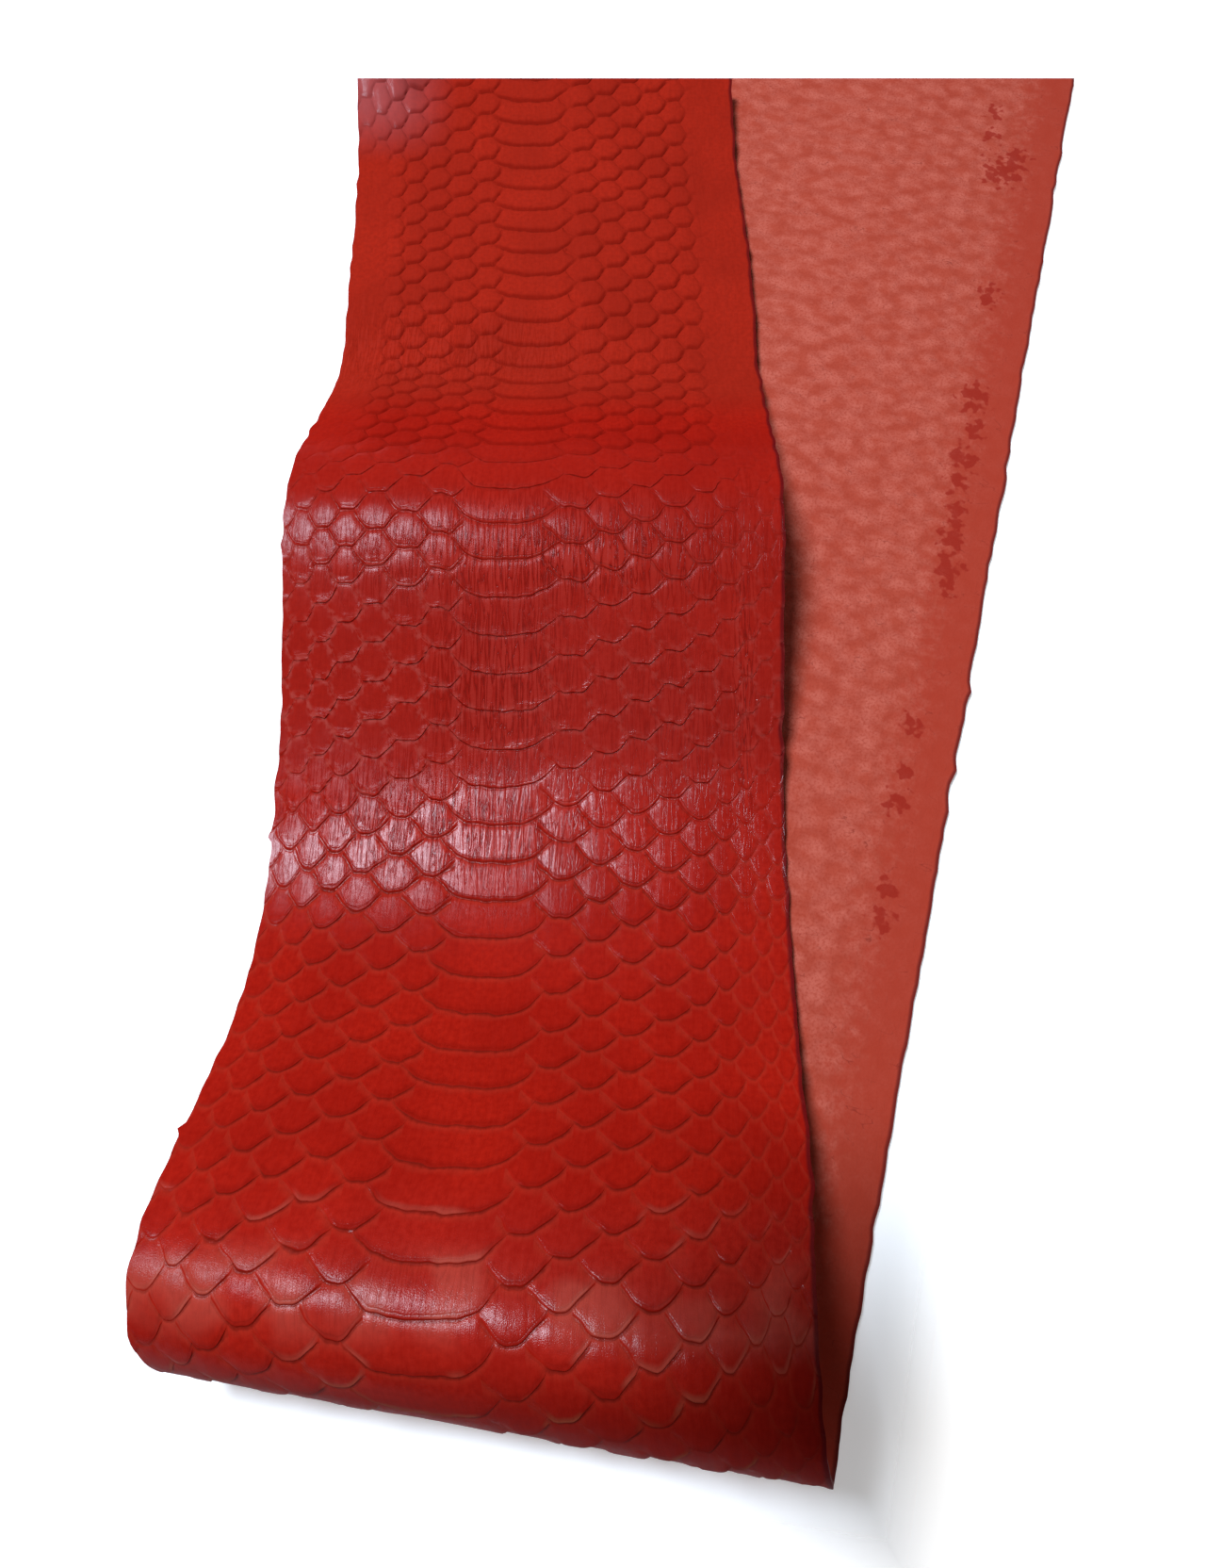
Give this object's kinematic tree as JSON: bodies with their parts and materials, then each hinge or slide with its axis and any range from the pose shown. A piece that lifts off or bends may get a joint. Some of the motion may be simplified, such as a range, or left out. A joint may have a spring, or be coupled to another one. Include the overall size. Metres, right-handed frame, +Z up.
{
  "type": "tanned snake skin",
  "caption": "Long strip of red-dyed, glazed snake leather, folded back over itself with its scales outside and its suede side showing beneath.",
  "frame": {"origin": "under the middle of the folded skin, on the surface it rests on", "axes": "+Z up; +Y along the folded skin, from the fold towards the two cut ends; +X towards the side where the lower layer shows"},
  "size_m": [0.281, 0.4642, 0.0401],
  "materials": {
    "leather": "dyed and glazed scaled side, napped flesh side"
  },
  "bodies": {
    "root": {"snake_skin": "leather"}
  },
  "joints": []
}
